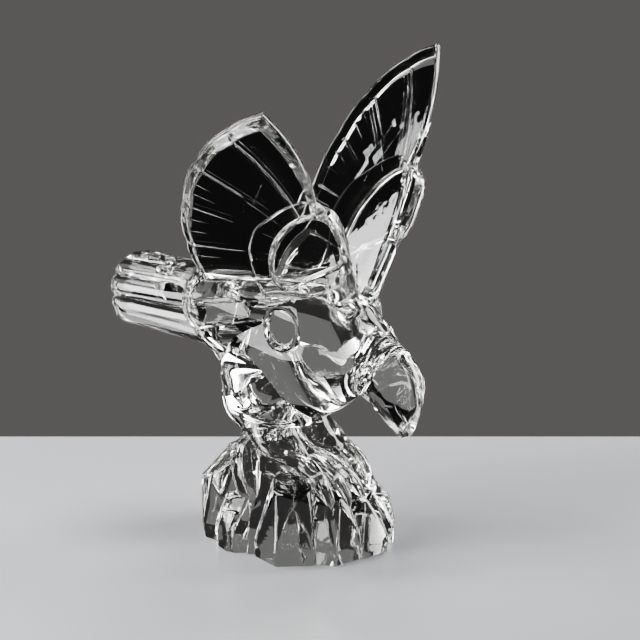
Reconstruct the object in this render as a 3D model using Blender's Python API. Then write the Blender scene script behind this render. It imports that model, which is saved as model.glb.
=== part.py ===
"""A clear crystal eagle, wings raised and head bent down, on a faceted rock.

The whole figure is one casting of glass. Metres, +Z up, the eagle facing -Y, and the origin on the
underside of the rock, below the middle of the perch.
"""

import math

import bmesh
import bpy
import numpy as np
from mathutils import Vector

# Driving dimensions, in metres
EAGLE_HEIGHT = 0.186  # from the perch to the wing tips
ROCK_WIDTH = 0.094
ROCK_HEIGHT = 0.044  # from the table to the perch

# The eagle is drawn in units of a 186th of its height, and the rock in 94ths of its width, so that a
# unit is a millimetre at the true size. The eagle's heights count from the perch.
EAGLE_UNIT = EAGLE_HEIGHT / 186
ROCK_UNIT = ROCK_WIDTH / 94
ROCK_RISE = ROCK_HEIGHT / 44

# The body's stations from the rump to the beak, in eagle units: the top (back, up), the bottom
# (back, up) and the half width
BODY_STATIONS = (
    (78, 79, 72, 64, 11),
    (58, 84, 48, 51, 18),
    (36, 86, 26, 37, 23),
    (12, 86, 6, 24, 26),
    (-12, 86, -12, 18, 27),
    (-28, 84, -24, 24, 24.5),
    (-38, 78.5, -32, 30.5, 19.5),
    (-45, 70.5, -37, 33.5, 16),
    (-53.5, 62, -42, 31.5, 14),
    (-61.5, 55.5, -46, 28, 13.6),
    (-66, 47, -49.5, 24, 12.2),
    (-67.5, 36.5, -52.5, 21, 9.2),
    (-66.7, 27.5, -55, 18.5, 5.6),
    (-64, 20, -57, 16.5, 3.6),
    (-61.6, 16, -59, 15.5, 1.6),
)
BODY_RINGS = 34
BODY_SIDES = 24

# The wing's plane passes through this point, turned outwards towards its back by the flare and tipped
# outwards by the lean. Places on it are (chord, span): back along it and up along it.
WING_ORIGIN = Vector((5.4, -32, 74))
WING_FLARE = math.radians(24.4)
WING_LEAN = math.radians(30.9)

# The lines between the feathers, from the front of the wing tip down to the rump:
# the inner end (chord, span), the outer end (chord, span) and the bow of the line towards the front
UPPER_LINES = (
    (11, 64, 31.5, 131, 6),
    (16, 60, 49, 119.5, 4),
    (21, 55, 65.4, 98.4, 2),
    (24, 50, 73.4, 74, 1),
    (25, 42, 74.4, 47, 0),
    (24, 22, 70, 25, -1),
)
LOWER_LINES = (
    (18, 27, 71, 26, 0),
    (18, 12, 79.8, 6, 2),
    (17, 2, 77, -12, 2),
    (14, -12, 68, -29.5, 1),
    (8, -28, 56.5, -54, 0),
)
BLADE_THICKNESS = 7.6
RIM_WIDTH = 4.5
RIM_THICKNESS = 3.0
FEATHER_STEP = 1.2
FEATHER_TIP = 0.9

ARM_FLATNESS = 0.68
# The arm along the wing's leading edge: (chord, span) and its half width
ARM_STATIONS = (
    (3, -32, 13),
    (2, -12, 10.5),
    (2.5, 8, 8),
    (3, 28, 6.8),
    (4.2, 46, 6),
    (6.7, 58, 5.4),
    (9.3, 67, 4.6),
    (11.2, 73, 2.8),
)
# The shoulder, which joins the wing to the body: back, up, out from the middle, half size across, half
# size upwards
SHOULDER_STATIONS = (
    (24, 77, 11, 4, 5),
    (9, 76, 15.5, 8.5, 12),
    (-9, 73.5, 17.5, 10.5, 16),
    (-23, 70.5, 17, 10, 15),
    (-33, 67, 14.5, 7.5, 11.5),
    (-39, 64, 12, 3, 5),
)
# The smooth pads of small feathers on the wing's two faces: centre (chord, span), half sizes to the
# front, to the back and along the span, tilt, and how far out they start and end
OUTER_PAD = (17, 41, 18, 19, 27, 18, -2, 7.0)
INNER_PAD = (16, 33, 16, 28, 41, 6, 2, -6.2)

TAIL_ROOT = 34
TAIL_END = 97
TAIL_RIDGE = 79.5  # height of the ridge's middle line
TAIL_HALF_WIDTHS = (20, 26)  # at the root and at the end
TAIL_DROOPS = (28, 22)
TAIL_THICKNESS = 6.4
TAIL_FEATHERS = 7
TAIL_ARCH = math.radians(74)
TAIL_ROUNDING = 12

# A leg's stations from the hip down: back, up, out from the middle, half size across, half size along
LEG_STATIONS = (
    (17, 54, 15, 10, 12),
    (14, 40, 17, 13, 17),
    (11.5, 28, 16, 14, 19),
    (10, 19, 14.5, 13.5, 18),
    (8.5, 14, 13, 12.3, 15),
    (8, 8, 12.5, 11.5, 13.5),
    (8, 2, 12.5, 13, 15.5),
    (8, -5, 12.5, 14, 17),
)
# The ankles of the left and the right foot: out from the middle, back, up
ANKLES = {1: (12.6, 0, -2.2), -1: (12.2, -3.4, -1.7)}
# Each toe's start, out from the ankle, its angle outwards and its share of the full reach
TOES = {
    1: ((-3.4, -9, 0.97), (0.3, 3, 1), (4.1, 14, 0.92)),
    -1: ((-3.4, -11, 1.2), (0.3, -2, 1.1), (4.1, 9, 0.98)),
}
# A toe's stations: reach from the ankle, up, radius
TOE_STATIONS = (
    (0, 0, 5.6),
    (8, 0.8, 5.3),
    (15.5, -1, 4.9),
    (22, -5.5, 4.2),
    (27, -12, 3.2),
    (29.5, -18, 1.4),
)

# The rock's boulders in rock units: bearing from the front towards the left, reach from the middle,
# radius, height, how wide it is at the top, how steeply its top slants outwards, and twist in degrees
BOULDERS = (
    (-30, 29, 19, 34, 0.56, 0.45, 8),
    (-64, 27, 19, 38, 0.6, 0.4, -6),
    (-122, 26, 17, 31, 0.72, 0.45, 4),
    (-153, 29, 18, 44, 1.02, 0.85, -8),
    (174, 28, 20, 45, 0.68, 0.5, 10),
    (140, 28, 19, 39, 0.6, 0.5, -4),
    (98, 29, 18, 33, 0.6, 0.5, 6),
    (62, 30, 17, 30, 0.65, 0.5, -10),
    (27, 31, 18, 28, 0.7, 0.45, 4),
    (-3, 32, 18, 31, 0.55, 0.5, -12),
)
BOULDER_RIM = 9
SUNK = 2  # how far the rock is drawn below its flat underside, before the saw cut


def eagle_point(x, y, z):
    """A point of the eagle, in its own units above the perch, as a place in the model."""
    return Vector((x, y, z)) * EAGLE_UNIT + Vector((0, 0, ROCK_HEIGHT))


def curve_through(rows, count):
    """count rows read from a smooth curve through the given rows, evenly along their first two columns."""
    rows = np.array(rows, float)
    at = np.concatenate([[0], np.cumsum(np.linalg.norm(np.diff(rows[:, :2], axis=0), axis=1))])
    slopes = np.gradient(rows, at, axis=0)
    wanted = np.linspace(0, at[-1], count)
    k = np.clip(np.searchsorted(at, wanted, side="right") - 1, 0, len(rows) - 2)
    gap = (at[k + 1] - at[k])[:, None]
    t = (wanted - at[k])[:, None] / gap
    return (
        (2 * t**3 - 3 * t**2 + 1) * rows[k]
        + (t**3 - 2 * t**2 + t) * gap * slopes[k]
        + (3 * t**2 - 2 * t**3) * rows[k + 1]
        + (t**3 - t**2) * gap * slopes[k + 1]
    )


def skin(name, rings):
    """A closed object whose surface runs through rings of points, each with the same count."""
    bm = bmesh.new()
    loops = [[bm.verts.new(p) for p in ring] for ring in rings]
    for near, far in zip(loops, loops[1:]):
        for k in range(len(near)):
            j = (k + 1) % len(near)
            bm.faces.new((near[k], near[j], far[j], far[k]))
    bm.faces.new(loops[0])
    bm.faces.new(loops[-1])
    return finish_mesh(name, bm)


def finish_mesh(name, bm):
    bmesh.ops.recalc_face_normals(bm, faces=bm.faces)
    bmesh.ops.triangulate(bm, faces=bm.faces)
    mesh = bpy.data.meshes.new(name)
    bm.to_mesh(mesh)
    bm.free()
    obj = bpy.data.objects.new(name, mesh)
    bpy.context.scene.collection.objects.link(obj)
    return obj


def oval(centre, across, upward, half_width, half_depth, sides):
    turns = (2 * math.pi * k / sides for k in range(sides))
    return [
        eagle_point(*(centre + across * (half_width * math.cos(a)) + upward * (half_depth * math.sin(a))))
        for a in turns
    ]


def body():
    """The body, neck and head in one smooth form, from the rump to the beak."""
    rings = []
    for top_y, top_z, low_y, low_z, half_width in curve_through(BODY_STATIONS, BODY_RINGS):
        top, low = Vector((0, top_y, top_z)), Vector((0, low_y, low_z))
        upward = (top - low).normalized()
        half_depth = (top - low).length / 2
        rings.append(oval((top + low) / 2, Vector((1, 0, 0)), upward, half_width, half_depth, BODY_SIDES))
    return skin("body", rings)


def wing_point(side, chord, span, out):
    """A place of a wing, from its place in the wing's own plane. side is 1 for the left wing."""
    turn, lean = WING_FLARE, WING_LEAN
    chord_way = Vector((math.sin(turn), math.cos(turn), 0))
    outer_way = Vector((math.cos(turn) * math.cos(lean), -math.sin(turn) * math.cos(lean), -math.sin(lean)))
    span_way = outer_way.cross(chord_way)
    p = WING_ORIGIN + chord_way * chord + span_way * span + outer_way * out
    return eagle_point(side * p.x, p.y, p.z)


def feather_columns(lines):
    """Lines across a fan of feathers: each is a feather line's five values, and where it lies across its
    feather, from 0 to 1."""
    count = len(lines) - 1
    shares = (0, 0.25, 0.5, 0.75, 0.93)
    rows = curve_through([line[2:4] + line[:2] + line[4:] for line in lines], 20 * count + 1)
    at = np.linspace(0, 1, len(rows))
    steps = np.linalg.norm(np.diff(np.array(lines)[:, 2:4], axis=0), axis=1)
    ends = np.concatenate([[0], np.cumsum(steps)]) / steps.sum()
    columns = []
    for feather in range(count):
        for u in shares:
            place = ends[feather] + u * (ends[feather + 1] - ends[feather])
            columns.append(([np.interp(place, at, rows[:, k]) for k in range(5)], u))
    columns.append((list(rows[-1]), 0.5))
    return columns


def blade(name, side, lines, lift):
    """A fan of feathers side by side, each a step above the next, with a bevelled rim."""
    rings = []
    for (outer_chord, outer_span, inner_chord, inner_span, bow), u in feather_columns(lines):
        inner, outer = Vector((inner_chord, inner_span)), Vector((outer_chord, outer_span))
        length = (outer - inner).length
        along = (outer - inner) / length
        front = Vector((-along.y, along.x))
        outer -= along * (FEATHER_TIP * (2 * u - 1) ** 2)
        around = []
        for share in (0, 0.3, 0.6, 0.85, 1 - RIM_WIDTH / length, 1):
            place = inner.lerp(outer, share) + front * (bow * 4 * share * (1 - share))
            half = BLADE_THICKNESS / 2 - 0.7 * share + FEATHER_STEP * (0.5 - u)
            if share == 1:
                half = RIM_THICKNESS / 2
            around.append((place, half))
        around += [(place, -half) for place, half in reversed(around)]
        rings.append([wing_point(side, place.x, place.y, lift + half) for place, half in around])
    return skin(name, rings)


def arm(side):
    """The wing's arm: the thick leading edge from the shoulder to the wrist."""
    rings = []
    for chord, span, radius in curve_through(ARM_STATIONS, 16):
        turns = (2 * math.pi * k / 12 for k in range(12))
        rings.append([wing_point(side, chord + radius * math.cos(a), span, ARM_FLATNESS * radius * math.sin(a)) for a in turns])
    return skin("arm", rings)


def pad(side, row):
    """A smooth raised pad with rounded edges on one face of the wing."""
    chord, span, to_front, to_back, half_span, tilt, start, end = row
    tilt = math.radians(tilt)
    rings = []
    for level, share in ((0, 1), (0.55, 1), (0.85, 0.95), (1, 0.86)):
        ring = []
        for k in range(24):
            a = 2 * math.pi * k / 24
            u = share * (to_back if math.cos(a) > 0 else to_front) * math.cos(a)
            v = share * half_span * math.sin(a)
            ring.append(
                wing_point(
                    side,
                    chord + u * math.cos(tilt) - v * math.sin(tilt),
                    span + u * math.sin(tilt) + v * math.cos(tilt),
                    start + (end - start) * level,
                )
            )
        rings.append(ring)
    return skin("pad", rings)


def tail():
    """The tail: an arched fan of long feathers."""
    columns = [((k + u) / TAIL_FEATHERS, u) for k in range(TAIL_FEATHERS) for u in (0, 0.25, 0.5, 0.75)]
    rings = []
    for v, u in columns + [(1, 0)]:
        turn = (2 * v - 1) * TAIL_ARCH
        edge = abs(2 * v - 1)
        end = TAIL_END - TAIL_ROUNDING * edge**2.5 - FEATHER_TIP * (2 * u - 1) ** 2
        around = []
        for share in (0, 0.35, 0.7, 1 - 4 / (end - TAIL_ROOT), 1):
            half = TAIL_THICKNESS / 2 + 1.1 * (1 - (2 * u - 1) ** 2)
            around.append((share, 1.4 if share == 1 else half))
        around += [(share, -half) for share, half in reversed(around)]
        ring = []
        for share, half in around:
            width = np.interp(share, (0, 1), TAIL_HALF_WIDTHS) / math.sin(TAIL_ARCH)
            droop = np.interp(share, (0, 1), TAIL_DROOPS) / (1 - math.cos(TAIL_ARCH))
            normal = Vector((math.sin(turn) * droop, math.cos(turn) * width)).normalized()
            x = width * math.sin(turn) + half * normal.x
            z = TAIL_RIDGE - droop * (1 - math.cos(turn)) + half * normal.y
            ring.append(eagle_point(x, TAIL_ROOT + (end - TAIL_ROOT) * share, z))
        rings.append(ring)
    return skin("tail", rings)


def leg(side):
    """A feathered leg, from the hip to its foot on the rock."""
    rings = []
    for back, up, out, across, along in curve_through(LEG_STATIONS, 18):
        rings.append(oval(Vector((side * out, back, up)), Vector((1, 0, 0)), Vector((0, 1, 0)), across, along, 18))
    return skin("leg", rings)


def toe(side, shift, angle, scale):
    """A toe, which arches over the edge of the rock to its claw."""
    ankle_out, ankle_back, ankle_up = ANKLES[side]
    turn = math.radians(side * angle)
    heading = Vector((math.sin(turn), -math.cos(turn), 0))
    across = Vector((0, 0, 1)).cross(heading)
    rows = curve_through(TOE_STATIONS, 9)
    ways = np.gradient(rows[:, :2], axis=0)
    rings = []
    for (reach, up, radius), (forward, rise) in zip(rows, ways):
        centre = Vector((side * (ankle_out + shift), ankle_back, ankle_up + up)) + heading * (reach * scale)
        along = (heading * forward + Vector((0, 0, rise))).normalized()
        rings.append(oval(centre, across, across.cross(along), radius, radius, 10))
    return skin("toe", rings)


def shoulder(side):
    """The muscle that joins the wing's root to the body."""
    rings = []
    for back, up, out, across, upward in curve_through(SHOULDER_STATIONS, 12):
        rings.append(oval(Vector((side * out, back, up)), Vector((1, 0, 0)), Vector((0, 0, 1)), across, upward, 16))
    return skin("shoulder", rings)


def rock_point(x, y, z):
    return Vector((x * ROCK_UNIT, y * ROCK_UNIT, z * ROCK_RISE))


def boulder(bearing, reach, radius, height, taper, slope, twist):
    """One block of the rock: an upright foot, sloping sides and a slanted top."""
    turn = math.radians(bearing)
    outward = Vector((math.sin(turn), -math.cos(turn)))
    bm = bmesh.new()
    for z, share in ((-SUNK, 0.95), (BOULDER_RIM, 1), (height, taper)):
        for k in range(6):
            a = turn + math.radians(twist + 60 * k + 30)
            spoke = Vector((math.sin(a), -math.cos(a))) * (share * radius)
            place = outward * reach + spoke
            slant = slope * spoke.dot(outward) if z == height else 0
            bm.verts.new(rock_point(place.x, place.y, z - slant))
    hull = bmesh.ops.convex_hull(bm, input=bm.verts)
    bmesh.ops.delete(bm, geom=hull["geom_unused"], context="VERTS")
    bmesh.ops.dissolve_limit(bm, angle_limit=0.001, verts=bm.verts, edges=bm.edges)
    return finish_mesh("boulder", bm)


def mound():
    """The middle of the rock, which joins the boulders and carries the feet."""
    rings = []
    for z, radius in ((-1.5 * SUNK, 36), (18, 34), (38, 26), (43, 20)):
        rings.append(
            [rock_point(radius * math.sin(k * math.tau / 9), radius * math.cos(k * math.tau / 9), z) for k in range(9)]
        )
    return skin("mound", rings)


def saw():
    """What the saw takes off below the rock's flat underside."""
    corners = [(-80, -80), (80, -80), (80, 80), (-80, 80)]
    return skin("saw", [[rock_point(x, y, z) for x, y in corners] for z in (-20, 0)])


def crystal():
    material = bpy.data.materials.new("clear crystal")
    material.use_nodes = True
    shader = material.node_tree.nodes["Principled BSDF"]
    shader.inputs["Base Color"].default_value = (0.96, 0.97, 0.96, 1)
    shader.inputs["Roughness"].default_value = 0.02
    shader.inputs["Transmission Weight"].default_value = 1
    shader.inputs["IOR"].default_value = 1.55
    return material


def main():
    for obj in list(bpy.data.objects):
        bpy.data.objects.remove(obj)
    eagle = body()
    eagle.name = "crystal_eagle"
    pieces = [tail(), mound()]
    for side in (1, -1):
        pieces += [
            blade("upper_blade", side, UPPER_LINES, 0),
            blade("lower_blade", side, LOWER_LINES, 1.2),
            arm(side),
            shoulder(side),
            pad(side, OUTER_PAD),
            pad(side, INNER_PAD),
            leg(side),
        ]
        pieces += [toe(side, *row) for row in TOES[side]]
    pieces += [boulder(*row) for row in BOULDERS]
    forms = bpy.data.collections.new("forms")
    bpy.context.scene.collection.children.link(forms)
    for piece in pieces:
        forms.objects.link(piece)
    join = eagle.modifiers.new("join", "BOOLEAN")
    join.operation = "UNION"
    join.operand_type = "COLLECTION"
    join.collection = forms
    below = saw()
    cut = eagle.modifiers.new("underside", "BOOLEAN")
    cut.operation = "DIFFERENCE"
    cut.object = below
    for helper in pieces + [below]:
        helper.hide_render = True
        helper.display_type = "WIRE"
    eagle.data.materials.append(crystal())


main()
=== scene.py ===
"""A clear cast-glass eagle on its rock: the finished glass, the table, the light and the camera.

The glass is one piece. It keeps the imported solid's form and adds the finer carving: the beads and
barbs of the feathers, the rims of the wings and their pads, the fluted tail, the eye, brow and mouth,
the hems of the legs, the ground edges of the rock and the rows of strokes on its front.
"""

import math
from functools import partial

import bmesh
import bpy
import numpy as np
from mathutils import Matrix, Vector


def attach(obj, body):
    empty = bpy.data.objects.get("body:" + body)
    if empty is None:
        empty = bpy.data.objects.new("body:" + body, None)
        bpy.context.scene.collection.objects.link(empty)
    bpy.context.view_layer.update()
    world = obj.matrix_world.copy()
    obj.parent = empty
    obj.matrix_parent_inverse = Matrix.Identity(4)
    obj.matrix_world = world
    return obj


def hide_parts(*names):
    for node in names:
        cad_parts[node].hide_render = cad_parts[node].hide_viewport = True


MM = 0.001
PERCH = 44  # height of the rock's top, where the eagle's own heights start

# The body's stations from the rump to the beak: the top (back, up), the bottom (back, up), half width
BODY_STATIONS = (
    (78, 79, 72, 64, 11),
    (58, 84, 48, 51, 18),
    (36, 86, 26, 37, 23),
    (12, 86, 6, 24, 26),
    (-12, 86, -12, 18, 27),
    (-28, 84, -24, 24, 24.5),
    (-38, 78.5, -32, 30.5, 19.5),
    (-45, 70.5, -37, 33.5, 16),
    (-53.5, 62, -42, 31.5, 14),
    (-61.5, 55.5, -46, 28, 13.6),
    (-66, 47, -49.5, 24, 12.2),
    (-67.5, 36.5, -52.5, 21, 9.2),
    (-66.7, 27.5, -55, 18.5, 5.6),
    (-64, 20, -57, 16.5, 3.6),
    (-61.6, 16, -59, 15.5, 1.6),
)
BODY_RINGS = 100
BODY_SIDES = 72
FINE_RINGS = 401  # how finely a place on the body's skin is looked up
NUDGE_ALONG = 0.004
NUDGE_ROUND = 0.02

# The wing's plane: the place it passes through, its turn outwards towards the back and its lean. Places
# on it are (chord, span): back along it and up along it.
WING_ORIGIN = Vector((5.4, -32, 74))
WING_FLARE = math.radians(24.4)
WING_LEAN = math.radians(30.9)

# The lines between the feathers: inner end (chord, span), outer end (chord, span), bow to the front
UPPER_LINES = (
    (11, 64, 31.5, 131, 6),
    (16, 60, 49, 119.5, 4),
    (21, 55, 65.4, 98.4, 2),
    (24, 50, 73.4, 74, 1),
    (25, 42, 74.4, 47, 0),
    (24, 22, 70, 25, -1),
)
LOWER_LINES = (
    (18, 27, 71, 26, 0),
    (18, 12, 79.8, 6, 2),
    (17, 2, 77, -12, 2),
    (14, -12, 68, -29.5, 1),
    (8, -28, 56.5, -54, 0),
)
BLADE_THICKNESS = 7.6
BLADE_TAPER = 0.7  # how much thinner each half of a blade gets towards its rim
BLADE_SHARES = (0, 0.12, 0.25, 0.4, 0.55, 0.7, 0.82)
RIM_WIDTH = 4.5
RIM_THICKNESS = 3.0
RIM_RIDGE = 0.35
RIM_BEVEL = 0.012
RIM_SHARES = (0.35, 0.7, 0.9, 0.97, 1)
EDGE_START = 0.88
EDGE_ROUNDINGS = (0.8, 0.7)  # outside and inside
FRONT_EDGE = 0.22
FRONT_STOPS = (0.012, 0.05, 0.16, 0.19, 0.205, 0.235, 0.28)
FRONT_FEATHERS = 1.5  # up to here the feathers' steps run down to the root
FEATHER_STOPS = (0, 0.04, 0.1, 0.22, 0.35, 0.5, 0.65, 0.78, 0.88, 0.955, 0.985)
FEATHER_STEP = 0.45
FEATHER_TIP = 0.9
STEP_START = 0.45
LEAST_STEP = 0.1
PLACES_PER_FEATHER = 40
JUST_BEFORE = 1e-6  # how far before the last feather line its own feather is looked up
LOWER_BLADE_LIFT = 1.2

ARM_FLATNESS = 0.68
ARM_RINGS = 60
ARM_SIDES = 40
ARM_RIDGE = 0.05
ARM_RIDGE_SHARPNESS = 8
ARM_STATIONS = (
    (3, -32, 13),
    (2, -12, 10.5),
    (2.5, 8, 8),
    (3, 28, 6.8),
    (4.2, 46, 6),
    (6.7, 58, 5.4),
    (9.3, 67, 4.6),
    (11.2, 73, 2.8),
)
SHOULDER_STATIONS = (
    (24, 77, 11, 4, 5),
    (9, 76, 15.5, 8.5, 12),
    (-9, 73.5, 17.5, 10.5, 16),
    (-23, 70.5, 17, 10, 15),
    (-33, 67, 14.5, 7.5, 11.5),
    (-39, 64, 12, 3, 5),
)
SHOULDER_RINGS = 44
SHOULDER_SIDES = 44

# The pads of small feathers: the outline (chord, span) in the wing's plane, and its middle
OUTER_PAD = ((31.7, 41), (29.2, 49.3), (24.4, 58.3), (18.4, 65), (10.4, 68.2), (4.8, 64.3), (2.4, 55.6),
             (2.2, 40), (10.6, 33.4), (19.4, 27.4), (27.1, 21.8), (31.3, 27.5))
PAD_SIDES = 108
OUTLINE_POINTS = 600  # how finely an outline is looked up
OUTER_PAD_MIDDLE = (16, 47)
OUTER_PAD_LEVELS = (-2, 5.8)
INNER_PAD = ((-2.5, 8), (-1, 28), (1.5, 46), (4.8, 58), (8.6, 67), (15, 74), (24, 70), (33, 62), (41, 53),
             (44, 44), (44, 30), (40, 12), (32, -2), (18, -8), (4, -6))
INNER_PAD_MIDDLE = (20, 33)
INNER_PAD_LEVELS = (2, -6.2)
INNER_PAD_TURN = -0.05  # how much further out the inner pad's face is for each millimetre of chord
# The drop-shaped muscle in front of the wing's root: the outline (back, up), its middle and levels out
DROP = ((-8, 60), (-13, 62), (-15.5, 68), (-14.5, 74), (-9, 77), (-3.5, 75.5), (-1.5, 70), (-2, 64),
        (-4, 61))
DROP_MIDDLE = (-9, 68)
DROP_LEVELS = (20, 28.8)
# A pad's profile: its height from 0 at its start to 1 at its end, how far outside the outline it is, and
# the share of the outline
RING_PROFILE = (
    (0, 3.6, 1.0),
    (0.6, 3.6, 1.0),
    (0.82, 3.3, 1.0),
    (0.96, 2.5, 1.0),
    (1.0, 1.7, 1.0),
    (0.95, 0.9, 1.0),
    (0.84, 0.35, 1.0),
    (0.78, 0, 0.99),
    (0.77, 0, 0.85),
    (0.785, 0, 0.6),
    (0.8, 0, 0.3),
    (0.8, 0, 0.05),
)
PLATE_PROFILE = (
    (0, 0, 1.0),
    (0.8, 0, 1.0),
    (0.94, -0.25, 1.0),
    (1.0, -0.9, 1.0),
    (1.0, 0, 0.8),
    (1.0, 0, 0.4),
    (1.0, 0, 0.05),
)

TAIL_ROOT = 34
TAIL_END = 97
TAIL_RIDGE = 79.5
TAIL_HALF_WIDTHS = (20, 26)
TAIL_DROOPS = (28, 22)
TAIL_FEATHERS = 7
TAIL_ARCH = math.radians(74)
TAIL_ROUNDING = 12
TAIL_ROUNDING_POWER = 2.5
TAIL_FLUTE = 2.1
TAIL_VALLEY = 2.3
TAIL_SCALLOP = 2.6
TAIL_TIP_START = 0.935
TAIL_TIP_HALF = 1.4
TAIL_TIP_POWER = 1.5
TAIL_STEPS = 14  # round each feather
TAIL_SHARES = [0.05 * step for step in range(19)] + [TAIL_TIP_START, 0.955, 0.975, 0.99, 1]

# The legs' stations from the hip down: back, up, out, half width across and along, and how much the
# station rises towards the back
SHIN_STATIONS = (
    (12, 24, 14, 10, 12, 0),
    (8.5, 14, 13, 11, 13.5, 0),
    (8, 5, 12.5, 12, 15, 0),
    (8, -5, 12.5, 14, 17, 0),
)
THIGH_STATIONS = (
    (17, 54, 15, 10, 12, 0),
    (14, 40, 17, 13, 17, 0),
    (10.5, 30, 16.2, 14.2, 19.5, 0.03),
    (7.6, 23, 14.8, 14.2, 21.4, 0.06),
    (6.8, 20.6, 14.5, 13.9, 21.6, 0.07),
    (6.6, 19.5, 14.4, 12.9, 20.4, 0.07),
    (6.6, 19.2, 14.4, 10.5, 18, 0.07),
)
CUFF_STATIONS = (
    (9.5, 22, 13.8, 10.5, 14.5, 0.1),
    (8, 16, 13.4, 11.8, 15, 0.16),
    (4, 10.4, 13.2, 13.2, 17, 0.24),
    (0.4, 6.4, 13.1, 14.4, 19, 0.3),
    (-0.8, 4.4, 13.1, 14.5, 19.4, 0.32),
    (-1, 3, 13.1, 13.6, 18.4, 0.32),
    (-1, 2.6, 13.1, 11, 15.5, 0.32),
)
LEG_RINGS = 48
LEG_SIDES = 64

# The tuft behind each thigh and the back toe over the rock: back, up, out and radius
TUFT_STATIONS = (
    (22, 42, 14, 3),
    (25.5, 36, 15, 5.4),
    (26.2, 27, 15.4, 5.8),
    (24.5, 18, 15, 4.6),
    (22, 12, 14.6, 2),
)
BACK_TOE_STATIONS = (
    (11, 9, 17, 4),
    (13.5, 4, 21.5, 6.6),
    (13, -3, 24.5, 7.6),
    (11, -11, 26.5, 7),
    (8.6, -18, 28, 5),
    (7, -22.5, 29, 2),
)
LOBE_RINGS = 36
LOBE_SIDES = 28

# The feet, left (1) and right (-1): the ankle (out, back, up), and each toe's shift, angle and scale
ANKLES = {1: (12.6, 0, -2.2), -1: (12.2, -3.4, -1.7)}
TOES = {
    1: ((-3.4, -9, 0.97), (0.3, 3, 1), (4.1, 14, 0.92)),
    -1: ((-3.4, -11, 1.2), (0.3, -2, 1.1), (4.1, 9, 0.98)),
}
# A toe's stations: reach, up and radius
TOE_STATIONS = (
    (0, 0, 5.6),
    (8, 0.8, 5.3),
    (15.5, -1, 4.9),
    (22, -5.5, 4.2),
    (27, -12, 3.2),
    (29.5, -18, 1.4),
)
TOE_RINGS = 44
TOE_SIDES = 24
TOE_SWELLINGS = 4
TOE_SLIMNESS = 0.93
TOE_SWELL = 0.09

# The rock's boulders: bearing from the front towards the left, reach, radius, height, width at the top,
# outward slant of the top, and twist
BOULDERS = (
    (-30, 30, 19, 33, 0.5, 0.5, 14),
    (-63, 28.5, 19, 37, 0.54, 0.45, 9),
    (-122, 26, 17, 31, 0.72, 0.45, 4),
    (-153, 29, 18, 44, 1.02, 0.85, -8),
    (174, 28, 20, 45, 0.68, 0.5, 10),
    (140, 28, 19, 39, 0.6, 0.5, -4),
    (98, 29, 18, 33, 0.6, 0.5, 6),
    (62, 30, 17, 30, 0.65, 0.5, -10),
    (27, 31, 18, 28, 0.7, 0.45, 4),
    (-3, 32, 18, 31, 0.55, 0.5, -12),
)
# The small blocks between them, in the same order of values
CHIPS = (
    (-47, 34, 9, 24, 0.7, 0.5, 14),
    (-120, 32, 11, 21, 0.86, 0.12, 0),
    (-14, 37, 8.5, 19, 0.7, 0.5, -16),
    (44, 36, 9, 23, 0.7, 0.5, 8),
    (120, 34, 9.5, 28, 0.7, 0.5, 12),
    (-170, 35, 9.5, 28, 0.7, 0.5, 16),
)
BOULDER_SIDES = 6
BOULDER_RIM = 7
BOULDER_FOOT = 0.94
GROUND_EDGE = 1.4
SUNK = 2
# The middle of the rock: height and radius
MOUND_STATIONS = ((-1.5 * SUNK, 36), (18, 34), (38, 26), (43, 20))
MOUND_SIDES = 9
SAW_HALF_WIDTH = 80
SAW_DEPTH = 20

# The beads between the feathers: v, first and last share along them, and the radius at each end
UPPER_OUTSIDE = (
    (0.965, 0.14, 0.93, 0.42, 0.55),
    (1.06, 0.14, 0.93, 0.36, 0.5),
    (1.97, 0.55, 0.94, 0.3, 0.85),
    (2.04, 0.2, 0.5, 0.35, 0.3),
    (3, 0.62, 0.94, 0.25, 0.6),
    (4, 0.5, 0.94, 0.25, 0.9),
    (2.35, 0.78, 0.93, 0.15, 0.32),
    (2.62, 0.72, 0.93, 0.15, 0.32),
    (3.3, 0.74, 0.93, 0.15, 0.35),
    (3.62, 0.76, 0.93, 0.15, 0.32),
    (4.3, 0.66, 0.93, 0.15, 0.35),
)
UPPER_INSIDE = (
    (0.96, 0.14, 0.9, 0.25, 0.32),
    (1.07, 0.2, 0.9, 0.22, 0.3),
    (2, 0.3, 0.9, 0.22, 0.32),
    (2.1, 0.4, 0.85, 0.18, 0.25),
    (3, 0.55, 0.9, 0.18, 0.3),
    (4, 0.6, 0.9, 0.18, 0.3),
)
LOWER_OUTSIDE = (
    (0.12, 0.1, 0.93, 0.5, 0.8),
    (1, 0.1, 0.93, 0.6, 0.9),
    (2, 0.1, 0.93, 0.6, 0.9),
    (3, 0.1, 0.93, 0.5, 0.8),
)
LOWER_INSIDE = (
    (1, 0.25, 0.9, 0.2, 0.35),
    (2, 0.25, 0.9, 0.2, 0.35),
    (3, 0.25, 0.9, 0.2, 0.35),
)
# The band across the outer pad and the folds below it, and the arc on the wing's inner face
OUTER_FOLDS = (
    (0.9, 4.2, (31, 7), (21.8, 13.4), (12.1, 18.2), (3, 20)),
    (0.8, 3.9, (27, 3), (20, 6.5), (12, 9), (5, 9.5)),
)
INNER_ARC = ((0.3, -3.25, (31, 96), (33, 91), (36, 82), (41, 68), (43, 54), (47, 43)),)

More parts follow.
